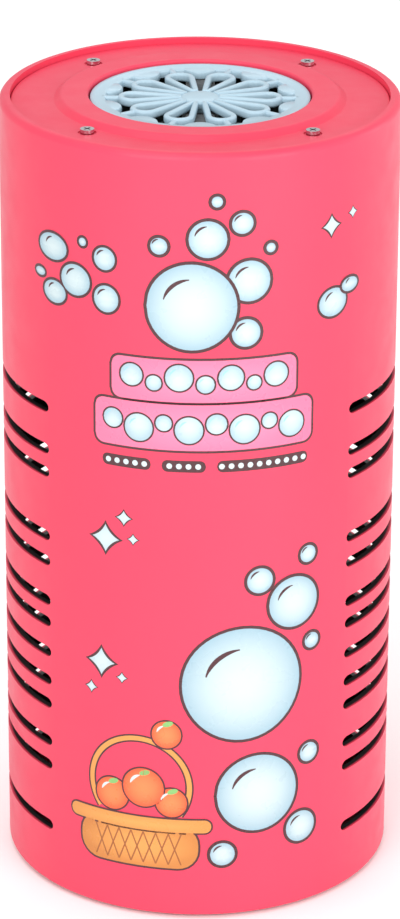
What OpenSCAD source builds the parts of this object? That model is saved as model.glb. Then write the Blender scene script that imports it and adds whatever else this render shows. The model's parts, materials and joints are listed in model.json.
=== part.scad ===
// Upright cylindrical bubble machine. Origin at the centre of the footprint, +Z up, front faces -Y.

/* [Casing] */
// Outer diameter of the casing tube
casing_d = 110; // [109:0.5:112]
// Overall height with the feet
total_h = 226; // [224:1:240]
// Casing wall thickness
wall = 2.2; // [2:0.1:2.2]
// Radius of the rounded top edge
edge_r = 2; // [1.6:0.1:2.4]

/* [Air slots] */
// Height of one slot
slot_h = 3.2; // [2:0.1:3.4]
// Angle from the front at which the slots start
slot_start = 48; // [48:1:70]
// Angle from the front at which the slots end
slot_end = 131; // [100:1:131]

/* [Bubble wheel] */
// Diameter of the wheel
wheel_d = 60.4; // [59.8:0.1:60.4]
// Number of petal loops
petals = 10; // [8:1:11]
// Outer radius of a petal's round end
petal_r = 4; // [3.6:0.1:4.2]
// Width of a petal's rib
rib_w = 1.6; // [1.3:0.1:1.7]

/* [Gears] */
// Tooth size, pitch diameter over tooth count
gear_mod = 0.5; // [0.48:0.01:0.5]
// Pressure angle
pressure = 25; // [24:1:26]
// Play between two meshing teeth at the pitch circle
backlash = 0.12; // [0.08:0.01:0.14]

/* [Fan] */
// Number of fan blades
blades = 7; // [5:1:9]
// Blade pitch from level
blade_tilt = 32; // [25:1:38]

/* [Power button] */
// Radius of the button cap
button_r = 7.9; // [7:0.1:8]
// Height of the button above the floor
button_z = 40; // [38:1:42]

/* [Hidden] */
$fn = 64;

pink = [0.99, 0.37, 0.46];
pale = [0.75, 0.85, 0.89];
white = [0.93, 0.94, 0.95];
steel = [0.72, 0.73, 0.75];
brass = [0.8, 0.65, 0.3];
dark = [0.16, 0.16, 0.17];
green = [0.1, 0.4, 0.22];
inner = [0.2, 0.23, 0.23];
sticker_white = [0.88, 0.95, 0.96];

eps = 0.01;
casing_r = casing_d / 2;
inner_r = casing_r - wall;
base_z = 1;
plate_top = 3.5;
plate_r = inner_r - 0.4;
skirt_h = 8;
lip_r = casing_r - 3;
cover_r = lip_r - 0.2;
cover_floor = total_h - 1.6;
collar_foot = 40.2;
collar_r = collar_foot - 2.64;
flange_top = cover_floor - 2.2;
flange_bottom = flange_top - 2;
flange_r = lip_r - 1.6;
post_x = 30;
post_y = 31.5;
post_at = norm([post_x, post_y]);
post_r = 3.2;
post_top_len = 16;
base_post_r = 4;
base_post_z = 10;
base_post_len = 14;
post_hole_r = 1.35;
post_clear_r = 1.6;

wheel_r = wheel_d / 2;
wheel_h = 2.4;
wheel_top = total_h - 0.9;
wheel_bottom = wheel_top - wheel_h;
mouth_r = wheel_r + 0.4;
ring_w = 3.7;
scallop_at = wheel_r - 2.6;
scallop_r = 5;
petal_at = 18.3;
petal_tip = 3;
petal_hole_tip = 7;
hub_r = 5.2;
shaft_r = 2;

tray_floor = total_h - 21;
tray_bottom = tray_floor - 2;
tray_r = 40;
tray_wall = 1.8;
guide_floor = tray_floor + 1.2;
guide_r = 25;
chimney_top = wheel_bottom - 1.8;
chimney_ri = 10;
chimney_ro = 24;
chimney_wall = 1.2;
felt_half = 4;
felt_start = 8.1;
felt_len = 18.4;
duct_ri = 33;
duct_ro = 34.6;
duct_top = tray_bottom - 1;
duct_bottom = 126;
duct_screw_at = 37;
lug_r = 3.2;
lug_h = 2.5;
pod_r = 24;
pod_floor = 160;
pod_plate = 2;
pod_roof = 178;
pod_post_at = 19.5;

slot_z = [147.6, 135.3, 128.4, 109.4, 101.8, 89.8, 83.2, 74, 65.3, 58, 46.3, 38.9, 19.7];

output_teeth = 40;
wheel_teeth = 30;
small_teeth = 12;
output_to_second = gear_mod * (output_teeth + small_teeth) / 2;
step_centre = gear_mod * (wheel_teeth + small_teeth) / 2;
second_to_first = 120;
first_to_motor = 158;
second_at = [output_to_second, 0];
first_at = second_at + step_centre * [cos(second_to_first), sin(second_to_first)];
motor_at = first_at + step_centre * [cos(first_to_motor), sin(first_to_motor)];
pinion_z = pod_floor + 3.5;
first_mid = pinion_z + 3;
second_low = first_mid + 0.5;
second_mid = second_low + 3;
first_top = second_mid + 0.5;
output_z = second_mid + 1;
output_h = 4;
second_top = output_z + output_h + 0.5;
second_small_turn = mesh_turn(0, 0, output_teeth, small_teeth);
first_small_turn = mesh_turn(0, second_to_first, wheel_teeth, small_teeth);
motor_turn = mesh_turn(0, first_to_motor, wheel_teeth, small_teeth);

motor_r = 10;
motor_flat = 7.7;
motor_h = 24;
motor_shaft_r = 1;

cell_r = 7.2;
cell_at = 7.7;
cell_bottom = 5.2;
cell_len = 49.5;
cap_h = 1.3;
box_half = 17.5;
box_in = 15.9;
box_top = 60;
box_tab_at = 23;
board_screw_z = [18, 44];
board_y = box_half + 1.2;
board_t = 1.6;
hinge_y = -19.7;
hinge_z = 2.25;
door_half = 18.2;
door_z = 1.2;
door_t = 2.1;
door_screw_y = 21.3;
hinge_len = 23.8;
foot_at = 42;
foot_r = 5;
foot_h = 2.5;

fan_r = 30;
fan_z = 109;
fan_h = 12;
fan_motor_z = 81;
fan_hub_z = 98;
spoke_z = 102;
frame_ri = duct_ri - 1.8;
switch_x = 12;
switch_y = 42;
button_y = 48.2;

wire_r = 1;
switch_wires = [[0, 20.6, 28], [0, 26, 27.5], [0, 32, 29], [0, 37, 34.5], [0, 41.6, 36]];
fan_wires = [[-10, 22, 46.6], [-10, 23, 56], [-8, 20, 67], [-5, 11, 73], [-3, 5, 74], [-3, 4, 79.2]];
drive_wires = [
    [10, 22, 46.6], [10, 26, 58], [7, 37, 76], [2, 43, 100], [-1, 44, 125],
    [-2, 41, 143], [-2, 34, 147.5], [-2, 27, 143], [-2, 24, 134], [-2, 18, 130], [-2, 13.5, 131],
    [-2, 13, 134.1]
];

function arc(cx, cy, r, a0, a1, n = 8) =
    [for (i = [0:n]) let (a = a0 + (a1 - a0) * i / n) [cx + r * cos(a), cy + r * sin(a)]];

function inv(a) = tan(a) * 180 / PI - a;

// Turn of a driven gear so that its gap meets the driver's tooth on the line of centres
function mesh_turn(driver_turn, line, driver_n, driven_n) =
    line + 180 + 180 / driven_n - (driver_turn - line) * driver_n / driven_n;

function flank(r, base, half) = half + inv(pressure) - inv(acos(min(1, base / r)));

function tooth(n, k, steps = 4) =
    let (
        pitch = gear_mod * n / 2,
        base = pitch * cos(pressure),
        tip = pitch + 0.9 * gear_mod,
        root = pitch - 1.24 * gear_mod,
        low = max(base, root),
        half = 90 / n - backlash / 4 / pitch * 180 / PI,
        mid = 360 * k / n,
        radii = [for (i = [0:steps]) low + (tip - low) * i / steps],
        left = [for (r = radii) let (a = mid - flank(r, base, half)) r * [cos(a), sin(a)]],
        right = [
            for (i = [steps:-1:0])
                let (r = radii[i], a = mid + flank(r, base, half)) r * [cos(a), sin(a)]
        ],
        foot = flank(low, base, half)
    )
    concat(
        root < low ? [root * [cos(mid - foot), sin(mid - foot)]] : [],
        left,
        right,
        root < low ? [root * [cos(mid + foot), sin(mid + foot)]] : []
    );

function unit(v) = v / norm(v);

function spline(p, i, t) =
    let (
        n = len(p) - 1,
        a = p[max(i - 1, 0)],
        b = p[i],
        c = p[min(i + 1, n)],
        d = p[min(i + 2, n)]
    )
    0.5 * (2 * b + (c - a) * t + (2 * a - 5 * b + 4 * c - d) * t * t + (3 * b - a - 3 * c + d) * t * t * t);

function smooth(p, steps = 3) =
    concat([for (i = [0:len(p) - 2]) for (s = [0:steps - 1]) spline(p, i, s / steps)], [p[len(p) - 1]]);

module gear(n, h, turn = 0) {
    rotate([0, 0, turn])
        linear_extrude(h)
            polygon([for (k = [0:n - 1]) each tooth(n, k)]);
}

// Tube along a route that never runs straight along X
module wire(route, r = wire_r, sides = 8) {
    path = smooth(route);
    last = len(path) - 1;
    rings = [
        for (i = [0:last])
            let (
                t = unit(path[min(i + 1, last)] - path[max(i - 1, 0)]),
                u = unit(cross(t, [1, 0, 0])),
                v = cross(t, u)
            )
            for (s = [0:sides - 1]) path[i] + r * (u * cos(360 * s / sides) + v * sin(360 * s / sides))
    ];
    walls = [
        for (i = [0:last - 1])
            for (s = [0:sides - 1])
                let (a = i * sides + s, b = i * sides + (s + 1) % sides)
                each [[a, b, b + sides], [a, b + sides, a + sides]]
    ];
    polyhedron(
        rings,
        concat(
            [[for (s = [sides - 1:-1:0]) s]],
            walls,
            [[for (s = [0:sides - 1]) last * sides + s]]
        )
    );
}

module tube(ro, ri, h) {
    difference() {
        cylinder(r = ro, h = h);
        translate([0, 0, -eps]) cylinder(r = ri, h = h + 2 * eps);
    }
}

module sector(ri, ro, half_angle, h) {
    rotate([0, 0, -half_angle])
        rotate_extrude(angle = 2 * half_angle)
            translate([ri, 0]) square([ro - ri, h]);
}

module at_posts() {
    for (x = [-post_x, post_x], y = [-post_y, post_y])
        rotate([0, 0, atan2(y, x)])
            translate([post_at, 0, 0]) children();
}

module at_quarters(radius, first = 45) {
    for (k = [0:3])
        rotate([0, 0, first + 90 * k]) translate([radius, 0, 0]) children();
}

// The gearbox posts stand where no gear turns
module at_pod_posts() {
    for (a = [130, 220, 310])
        rotate([0, 0, a]) translate([pod_post_at, 0, 0]) children();
}

module at_thirds(radius, first) {
    for (k = [0:2])
        rotate([0, 0, first + 120 * k]) translate([radius, 0, 0]) children();
}

// Pan-head screw with a cross recess: head at the top, its seat at z = 0
module screw(head_r, head_h, shank_r, shank_len) {
    difference() {
        union() {
            cylinder(r = head_r, h = head_h, $fn = 32);
            translate([0, 0, -shank_len]) cylinder(r = shank_r, h = shank_len + eps, $fn = 32);
        }
        for (a = [0, 90])
            rotate([0, 0, a])
                translate([-head_r * 0.6, -head_r * 0.12, head_h * 0.45])
                    cube([head_r * 1.2, head_r * 0.24, head_h]);
    }
}

// One slot, drawn straight out to the side as a side core of the mould would be
module slot_cutter(z) {
    front_y = -casing_r * cos(slot_start);
    rear_y = -casing_r * cos(slot_end);
    translate([inner_r * sin(slot_start) - 4, 0, z]) rotate([90, 0, 90])
        linear_extrude(casing_r) {
            translate([front_y + slot_h / 2, -slot_h / 2]) square([rear_y - front_y - slot_h, slot_h]);
            for (y = [front_y + slot_h / 2, rear_y - slot_h / 2]) translate([y, 0]) circle(r = slot_h / 2);
        }
}

module shell_post(z, length) {
    translate([0, 0, z]) {
        cylinder(r = post_r, h = length);
        translate([0, -0.7, 0]) cube([inner_r - post_at + 0.6, 1.4, length]);
    }
}

module outer_shell() {
    color(pink) difference() {
        union() {
            rotate_extrude($fn = 128)
                polygon(concat(
                    [[inner_r, base_z]],
                    arc(casing_r - 1, base_z + 1, 1, -90, 0, 4),
                    arc(casing_r - edge_r, total_h - edge_r, edge_r, 0, 90),
                    [[lip_r, total_h], [lip_r, flange_bottom], [inner_r, flange_bottom - 0.8]]
                ));
            at_posts() shell_post(flange_bottom - post_top_len, post_top_len);
            at_posts() shell_post(base_post_z, base_post_len);
            at_switch_screws(switch_y + board_t) cylinder(r = 2.5, h = 8.4);
        }
        for (z = slot_z) {
            slot_cutter(z);
            mirror([1, 0, 0]) slot_cutter(z);
        }
        translate([0, inner_r - 3, button_z])
            rotate([-90, 0, 0]) cylinder(r = button_r + 0.25, h = 10);
        at_posts() translate([0, 0, flange_bottom - 12]) cylinder(r = post_hole_r, h = 13);
        at_posts() translate([0, 0, base_post_z - 1]) cylinder(r = post_hole_r, h = 12);
        at_switch_screws(switch_y + 1) cylinder(r = 1.05, h = 6);
    }
}

// A flat annulus with a raised collar round the mouth that the wheel turns in
module top_cover() {
    color(pink) difference() {
        rotate_extrude($fn = 128)
            polygon(concat(
                [[cover_r, flange_top]],
                arc(cover_r - 0.4, cover_floor - 0.4, 0.4, 0, 90, 4),
                arc(collar_foot, cover_floor + 0.6, 0.6, -90, -130, 4),
                arc(collar_r, total_h - 1.4, 1.4, 50, 90, 5),
                arc(mouth_r + 0.7, total_h - 0.7, 0.7, 90, 180, 5),
                [
                    [mouth_r, wheel_bottom],
                    [mouth_r + 1.2, wheel_bottom],
                    [mouth_r + 1.9, total_h - 2],
                    [collar_r - 1, total_h - 2],
                    [collar_r + 0.8, flange_top]
                ]
            ));
        at_posts() translate([0, 0, flange_top - 1]) cylinder(r = post_clear_r, h = 6);
        at_posts() translate([0, 0, cover_floor - 0.4]) cylinder(r = 2.5, h = 4);
    }
}

module top_screws() {
    color(steel) at_posts() translate([0, 0, cover_floor - 0.4]) screw(1.9, 1.5, 1.25, 14);
}

// Teardrop: a circle with tangents that meet at a point nearer the wheel's centre
module teardrop(r, tip) {
    reach = petal_at - tip;
    lean = asin(r / reach);
    translate([petal_at, 0]) circle(r = r);
    polygon([
        [tip, 0],
        [petal_at - r * sin(lean), r * cos(lean)],
        [petal_at - r * sin(lean), -r * cos(lean)]
    ]);
}

module at_petals(first) {
    for (k = [0:petals - 1]) rotate([0, 0, 90 + (k + first) * 360 / petals]) children();
}

module petal_ribs() {
    difference() {
        union() {
            at_petals(0.5) teardrop(petal_r, petal_tip);
            at_petals(0.5) translate([petal_at + petal_r - 0.4, -rib_w / 2]) square([5, rib_w]);
            circle(r = hub_r);
        }
        at_petals(0.5) teardrop(petal_r - rib_w, petal_hole_tip);
    }
}

module wheel_ring() {
    difference() {
        circle(r = wheel_r, $fn = 128);
        difference() {
            circle(r = wheel_r - ring_w, $fn = 128);
            at_petals(0) translate([scallop_at, 0]) circle(r = scallop_r);
        }
    }
}

module bubble_wheel() {
    color(pale) difference() {
        union() {
            translate([0, 0, wheel_bottom]) linear_extrude(wheel_h - 0.4) wheel_ring();
            translate([0, 0, wheel_bottom]) linear_extrude(wheel_h) petal_ribs();
            translate([0, 0, wheel_bottom + wheel_h - 0.5]) tube(wheel_r, wheel_r - 1.6, 0.5, $fn = 128);
            translate([0, 0, wheel_bottom - 1.4]) cylinder(r = 4.5, h = 2);
        }
        translate([0, 0, wheel_bottom - 2]) cylinder(r = shaft_r, h = 3.4);
    }
}

module wheel_shaft() {
    color(steel) translate([0, 0, pod_floor + 0.2])
        cylinder(r = shaft_r, h = wheel_bottom + 1.1 - pod_floor);
}

module bush(z, h) {
    translate([0, 0, z]) tube(3.5, shaft_r + 0.05, h);
}

module shaft_bushes() {
    color(brass) {
        bush(pod_floor, 3);
        bush(pod_roof - 1.5, 4);
    }
}

module air_hole(z, h) {
    for (a = [0, 180])
        rotate([0, 0, a])
            translate([0, 0, z]) sector(chimney_ri + chimney_wall, chimney_ro - chimney_wall, 46, h);
}

module duct_lug(z, h) {
    translate([0, 0, z]) {
        cylinder(r = lug_r, h = h);
        translate([duct_ro - 0.6 - duct_screw_at, -lug_r, 0])
            cube([duct_screw_at - duct_ro + 0.6, 2 * lug_r, h]);
    }
}

// Round bowl for the solution, hung from its flange
module solution_tray() {
    color(inner) difference() {
        union() {
            difference() {
                union() {
                    translate([0, 0, tray_bottom]) cylinder(r = tray_r, h = flange_top - tray_bottom);
                    translate([0, 0, flange_bottom]) cylinder(r = flange_r, h = flange_top - flange_bottom);
                }
                translate([0, 0, tray_floor]) cylinder(r = tray_r - tray_wall, h = flange_top);
            }
            at_quarters(duct_screw_at) translate([0, 0, tray_floor - 1]) cylinder(r = 2.6, h = 6);
        }
        air_hole(tray_bottom - 1, 4);
        translate([0, 0, tray_bottom - 1]) cylinder(r = 2.6, h = 20);
        at_quarters(duct_screw_at) translate([0, 0, tray_bottom - 1]) cylinder(r = 1.15, h = 6);
        at_posts() translate([0, 0, flange_bottom - 1]) cylinder(r = post_clear_r, h = 4);
    }
}

// Insert on the tray floor: two air chimneys, the shaft tower and the pockets of the felts
module air_guides() {
    color(inner) difference() {
        union() {
            translate([0, 0, tray_floor]) cylinder(r = guide_r, h = guide_floor - tray_floor);
            for (a = [0, 180])
                rotate([0, 0, a]) {
                    translate([0, 0, tray_floor])
                        sector(chimney_ri, chimney_ro, 50, chimney_top - tray_floor);
                    translate([-felt_half - 1.2, felt_start - 1.2, tray_floor])
                        cube([2 * felt_half + 2.4, felt_len + 2.4, 6]);
                }
            translate([0, 0, tray_floor]) cylinder(r = 5, h = 14);
        }
        air_hole(tray_floor - 1, chimney_top - tray_floor + 2);
        for (a = [0, 180])
            rotate([0, 0, a])
                translate([-felt_half - 0.1, felt_start - 0.1, guide_floor])
                    cube([2 * felt_half + 0.2, felt_len + 0.2, 8]);
        translate([0, 0, tray_floor - 1]) cylinder(r = 2.6, h = 20);
    }
}

module wiper_felts() {
    color([0.9, 0.88, 0.82])
        for (a = [0, 180])
            rotate([0, 0, a])
                translate([-felt_half, felt_start, guide_floor])
                    cube([2 * felt_half, felt_len, wheel_bottom - 0.3 - guide_floor]);
}

module duct_gasket() {
    color(dark) translate([0, 0, duct_top]) tube(duct_ro, duct_ri, tray_bottom - duct_top);
}

module duct_screws() {
    color(steel)
        at_quarters(duct_screw_at)
            translate([0, 0, duct_top - lug_h]) mirror([0, 0, 1]) screw(1.9, 1.3, 1.1, 7);
}

module air_duct() {
    color(inner) difference() {
        union() {
            translate([0, 0, duct_bottom]) cylinder(r = duct_ro, h = duct_top - duct_bottom);
            at_quarters(duct_screw_at) duct_lug(duct_bottom, lug_h);
            intersection() {
                at_quarters(duct_screw_at) duct_lug(duct_top - lug_h, lug_h + tray_bottom - duct_top);
                translate([0, 0, duct_top - lug_h]) difference() {
                    cylinder(r = tray_r, h = lug_h + 1);
                    translate([0, 0, lug_h]) cylinder(r = duct_ro + 0.1, h = 2);
                }
            }
        }
        translate([0, 0, duct_bottom - 1]) cylinder(r = duct_ri, h = duct_top - duct_bottom + 2);
        at_quarters(duct_screw_at) translate([0, 0, duct_bottom - 1]) cylinder(r = 1.3, h = 80);
        at_thirds(duct_ri - 1, 30)
            translate([0, 0, pod_floor]) rotate([0, 90, 0]) cylinder(r = 1.3, h = 4);
        translate([-2, duct_ri - 2, 147.5]) rotate([-90, 0, 0]) cylinder(r = 2.4, h = 6);
    }
}

module gearbox_base() {
    color(inner) difference() {
        union() {
            translate([0, 0, pod_floor]) cylinder(r = pod_r, h = pod_plate);
            at_thirds(pod_r - 2, 30)
                translate([0, -2.5, pod_floor - 2.5]) cube([duct_ri - 0.3 - pod_r + 2, 5, 4.5]);
            at_pod_posts()
                translate([0, 0, pod_floor]) cylinder(r = 2.6, h = pod_roof - pod_floor);
        }
        translate([0, 0, pod_floor - 1]) cylinder(r = 3.5, h = 5);
        translate([motor_at[0], motor_at[1], pod_floor - 1]) cylinder(r = 3.1, h = 5);
        translate([motor_at[0], motor_at[1], pod_floor - 6]) cylinder(r = 10.3, h = 6);
        for (p = [first_at, second_at])
            translate([p[0], p[1], pod_floor + 0.6]) cylinder(r = 1, h = 5);
        at_pod_posts() translate([0, 0, pod_roof - 9]) cylinder(r = 1.1, h = 10);
        at_thirds(duct_ri - 7, 30)
            translate([0, 0, pod_floor]) rotate([0, 90, 0]) cylinder(r = 1.1, h = 8);
    }
}

module gearbox_cover() {
    color(inner) difference() {
        union() {
            translate([0, 0, pod_floor + pod_plate])
                tube(pod_r, pod_r - 1.6, pod_roof - pod_floor - pod_plate);
            translate([0, 0, pod_roof]) cylinder(r = pod_r, h = pod_plate);
            translate([0, 0, pod_roof - 1.5]) cylinder(r = 5.5, h = 2);
            at_thirds(15, 0) translate([0, 0, pod_roof + 1]) cylinder(r = 2, h = 4);
        }
        translate([0, 0, pod_roof - 3]) cylinder(r = 3.5, h = 8);
        for (p = [first_at, second_at])
            translate([p[0], p[1], pod_roof - 1]) cylinder(r = 1, h = 2.2);
        at_pod_posts() translate([0, 0, pod_roof - 1]) cylinder(r = 1.3, h = 4);
    }
}

module gearbox_screws() {
    color(steel)
        at_pod_posts() translate([0, 0, pod_roof + pod_plate]) screw(2, 1.3, 1.05, 9);
}

module pod_screws() {
    color(steel)
        at_thirds(duct_ro, 30)
            translate([0.15, 0, pod_floor]) rotate([0, 90, 0]) screw(2.1, 1.4, 1.05, 8);
}

module output_gear() {
    color(white) difference() {
        union() {
            translate([0, 0, output_z]) gear(output_teeth, output_h);
            translate([0, 0, output_z - 2.5]) cylinder(r = 4, h = output_h + 3);
        }
        translate([0, 0, output_z - 3]) cylinder(r = shaft_r, h = output_h + 5);
    }
}

module idler(small_turn, low, mid, top) {
    difference() {
        union() {
            translate([0, 0, low]) gear(wheel_teeth, mid - low);
            translate([0, 0, mid - eps]) gear(small_teeth, top - mid + eps, small_turn);
        }
        translate([0, 0, low - 1]) cylinder(r = 1.05, h = top - low + 2);
    }
}

module second_idler() {
    color([0.85, 0.87, 0.9]) translate([second_at[0], second_at[1], 0])
        idler(second_small_turn, second_low, second_mid, second_top);
}

module first_idler() {
    color([0.85, 0.87, 0.9]) translate([first_at[0], first_at[1], 0])
        idler(first_small_turn, pinion_z, first_mid, first_top);
}

module idler_pins() {
    color(steel)
        for (p = [first_at, second_at])
            translate([p[0], p[1], pod_floor + 0.6]) cylinder(r = 1, h = pod_roof + 1 - pod_floor - 0.6);
}

module motor_pinion() {
    color(brass) translate([motor_at[0], motor_at[1], pinion_z]) difference() {
        gear(small_teeth, 3.3, motor_turn);
        translate([0, 0, -1]) cylinder(r = motor_shaft_r, h = 6);
    }
}

// Round can with two flats, a nose at the shaft end and a cap with two tags at the other
module motor() {
    difference() {
        union() {
            intersection() {
                cylinder(r = motor_r, h = motor_h);
                translate([-motor_r, -motor_flat, 0]) cube([2 * motor_r, 2 * motor_flat, motor_h]);
            }
            translate([0, 0, motor_h - eps]) cylinder(r = 3, h = 1.5);
            translate([0, 0, -1.5]) cylinder(r = 6, h = 1.6);
            for (x = [-4, 4]) translate([x - 1, -0.3, -3.2]) cube([2, 0.6, 2]);
        }
        translate([0, 0, motor_h - 4]) cylinder(r = motor_shaft_r + 0.05, h = 7);
    }
}

module drive_motor() {
    color(steel) translate([motor_at[0], motor_at[1], pod_floor - motor_h - 0.1]) motor();
}

module motor_shaft() {
    color(steel) translate([motor_at[0], motor_at[1], pod_floor - 3.9])
        cylinder(r = motor_shaft_r, h = 11.2);
}

module led_board() {
    color(green) translate([0, 0, pod_roof + 5]) tube(20, 6, 1.2);
}

module leds() {
    color([0.95, 0.97, 1])
        at_quarters(13) translate([0, 0, pod_roof + 6.2]) {
            cylinder(r = 2.9, h = 1);
            cylinder(r = 2.5, h = 4);
            translate([0, 0, 4]) sphere(r = 2.5);
        }
}

module fan_frame() {
    color(inner) difference() {
        union() {
            translate([0, 0, spoke_z]) tube(duct_ri, frame_ri, duct_bottom - spoke_z);
            translate([0, 0, duct_bottom - lug_h]) tube(duct_ro, frame_ri, lug_h);
            at_quarters(duct_screw_at) duct_lug(duct_bottom - lug_h, lug_h);
            translate([0, 0, fan_hub_z]) cylinder(r = motor_r + 2.5, h = 8);
            at_quarters(motor_r + 1, 0) translate([0, -1.5, spoke_z]) cube([duct_ri - motor_r - 2, 3, 4]);
        }
        translate([0, 0, fan_hub_z - 1]) cylinder(r = motor_r, h = 10);
        at_quarters(duct_screw_at) translate([0, 0, duct_bottom - 4]) cylinder(r = 1.15, h = 6);
    }
}

module fan_screws() {
    color(steel)
        at_quarters(duct_screw_at)
            translate([0, 0, duct_bottom + lug_h]) screw(1.9, 1.3, 1.1, 4.8);
}

module fan_motor() {
    color(steel) translate([0, 0, fan_motor_z]) motor();
}

module fan_shaft() {
    color(steel) translate([0, 0, fan_motor_z + motor_h - 3.8]) cylinder(r = motor_shaft_r, h = 19);
}

module fan_blade() {
    intersection() {
        translate([6, 0, fan_z + fan_h / 2])
            rotate([blade_tilt, 0, 0]) translate([0, -9, -0.6]) cube([fan_r, 18, 1.2]);
        translate([0, 0, fan_z]) cylinder(r = fan_r, h = fan_h);
    }
}

module fan_impeller() {
    color([0.3, 0.32, 0.35]) difference() {
        union() {
            translate([0, 0, fan_z]) cylinder(r = 8, h = fan_h);
            for (k = [0:blades - 1]) rotate([0, 0, 360 * k / blades]) fan_blade();
        }
        translate([0, 0, fan_z - 1]) cylinder(r = motor_shaft_r, h = fan_h + 0.2);
    }
}

module at_tabs() {
    for (x = [-box_tab_at, box_tab_at]) translate([x, 0, 0]) children();
}

module at_board_screws(y) {
    for (z = board_screw_z) translate([0, y, z]) rotate([-90, 0, 0]) children();
}

module at_switch_screws(y) {
    for (x = [-switch_x, switch_x]) translate([x, y, button_z]) rotate([-90, 0, 0]) children();
}

module battery_box() {
    color(dark) difference() {
        union() {
            translate([-box_half, -box_half, plate_top])
                cube([2 * box_half, 2 * box_half, box_top - plate_top]);
            translate([-box_tab_at - 4, -4, plate_top]) cube([2 * box_tab_at + 8, 8, 2]);
            at_board_screws(box_half - 1) cylinder(r = 2.2, h = board_y - box_half + 1);
        }
        translate([-box_in, -box_in, plate_top - 1]) cube([2 * box_in, 2 * box_in, box_top - 1 - plate_top]);
        at_tabs() translate([0, 0, plate_top - 1]) cylinder(r = 1.3, h = 4);
        at_board_screws(box_in + 0.4) cylinder(r = 0.9, h = 4);
    }
}

module box_screws() {
    color(steel) at_tabs() translate([0, 0, plate_top + 2]) screw(2.1, 1.3, 1.05, 3.4);
}

module cell() {
    cylinder(r = cell_r, h = cell_len - cap_h + 0.1);
    translate([0, 0, cell_len - cap_h]) cylinder(r = 2.7, h = cap_h);
}

module at_cells() {
    for (x = [-cell_at, cell_at], y = [-cell_at, cell_at]) translate([x, y, 0]) children();
}

module batteries() {
    color([0.2, 0.35, 0.6]) at_cells() translate([0, 0, cell_bottom]) cell();
}

module box_contacts() {
    color(steel)
        for (y = [-cell_at, cell_at])
            translate([0, y, cell_bottom + cell_len + 0.2]) {
                translate([-cell_at - 4, -4, 2]) cube([2 * cell_at + 8, 8, 0.8]);
                for (x = [-cell_at, cell_at]) translate([x, 0, 0]) cylinder(r = 2.4, h = 2.1);
            }
}

module along_hinge(r, len, x = 0) {
    translate([x - len / 2, hinge_y, hinge_z]) rotate([0, 90, 0]) cylinder(r = r, h = len);
}

module battery_door() {
    color(pink) difference() {
        union() {
            translate([-door_half, -17.8, door_z]) cube([2 * door_half, door_half + 17.8, door_t]);
            translate([-hinge_len / 2, hinge_y, 1.5]) cube([hinge_len, 2.4, 1.5]);
            along_hinge(1.05, hinge_len);
            translate([-5, door_half - 0.2, door_z]) cube([10, 6, 1.1]);
        }
        along_hinge(0.8, hinge_len + 0.2);
        translate([0, door_screw_y, 0]) cylinder(r = 1.25, h = 4);
    }
}

module door_contacts() {
    color(steel) {
        for (x = [-cell_at, cell_at])
            translate([x - 4, -cell_at - 4, door_z + door_t]) cube([8, 2 * cell_at + 8, 0.5]);
        at_cells() translate([0, 0, door_z + door_t + 0.4]) tube(4, 3.1, 1.2);
    }
}

module door_screw() {
    color(steel) translate([0, door_screw_y, door_z]) mirror([0, 0, 1]) screw(2.1, 0.9, 1.2, 3.3);
}

module door_hinge_pin() {
    color(steel) along_hinge(0.75, 30);
}

module base_cover() {
    color(pink) difference() {
        union() {
            translate([0, 0, base_z]) cylinder(r = plate_r, h = plate_top - base_z, $fn = 128);
            translate([0, 0, base_z]) tube(plate_r, plate_r - 2, skirt_h, $fn = 128);
            at_posts() translate([0, 0, base_z]) cylinder(r = base_post_r, h = base_post_z - base_z);
            translate([0, door_screw_y, base_z]) cylinder(r = 3.2, h = 6);
        }
        translate([-door_half - 0.3, -door_half - 0.3, 0])
            cube([2 * door_half + 0.6, 2 * door_half + 0.6, 6]);
        translate([-hinge_len / 2 - 0.3, hinge_y - 1.4, 0]) cube([hinge_len + 0.6, 4, 6]);
        translate([-5.3, door_half - 0.2, 0]) cube([10.6, 6.3, foot_h]);
        along_hinge(0.75, 30.4);
        translate([0, door_screw_y, 0]) cylinder(r = 1.5, h = 5.2);
        at_posts() translate([0, 0, 0]) cylinder(r = 3, h = 5);
        at_posts() translate([0, 0, 4]) cylinder(r = post_clear_r, h = 8);
        at_quarters(foot_at, 0) cylinder(r = foot_r, h = foot_h);
        at_tabs() translate([0, 0, 1.9]) cylinder(r = 1.05, h = 3);
    }
}

module base_screws() {
    color(steel) at_posts() translate([0, 0, 5]) mirror([0, 0, 1]) screw(2.6, 1.6, 1.3, 14);
}

module rubber_feet() {
    color(dark) at_quarters(foot_at, 0) rotate_extrude()
        polygon(concat([[0, foot_h], [0, 0]], arc(foot_r - 0.6, 0.6, 0.6, -90, 0, 4), [[foot_r, foot_h]]));
}

module main_board() {
    color(green) difference() {
        translate([-15, board_y, 11]) cube([30, board_t, 40]);
        at_board_screws(box_half) cylinder(r = 1.1, h = 4);
    }
}

module board_components() {
    color(dark) translate([0, board_y + board_t, 0]) {
        translate([-4, 0, 33]) cube([8, 1.4, 6]);
        for (x = [-10, 10]) translate([x - 2.5, 0, 42]) cube([5, 3.4, 4.4]);
        for (x = [-9, 8]) translate([x, 0, 22]) rotate([-90, 0, 0]) cylinder(r = 2.5, h = 5);
    }
}

module board_screws() {
    color(steel) {
        at_board_screws(board_y + board_t) screw(1.8, 1.1, 0.85, 3.8);
        at_switch_screws(switch_y) mirror([0, 0, 1]) screw(1.8, 1.1, 1, 6);
    }
}

module switch_board() {
    color(green) difference() {
        translate([-15, switch_y, button_z - 8]) cube([30, board_t, 16]);
        at_switch_screws(switch_y - 1) cylinder(r = 1.1, h = 4);
    }
}

module power_switch() {
    color(dark) difference() {
        translate([-4, switch_y + board_t, button_z - 4]) cube([8, 3.2, 8]);
        translate([0, switch_y + board_t + 0.3, button_z]) rotate([-90, 0, 0]) cylinder(r = 1.55, h = 4);
    }
}

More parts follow.
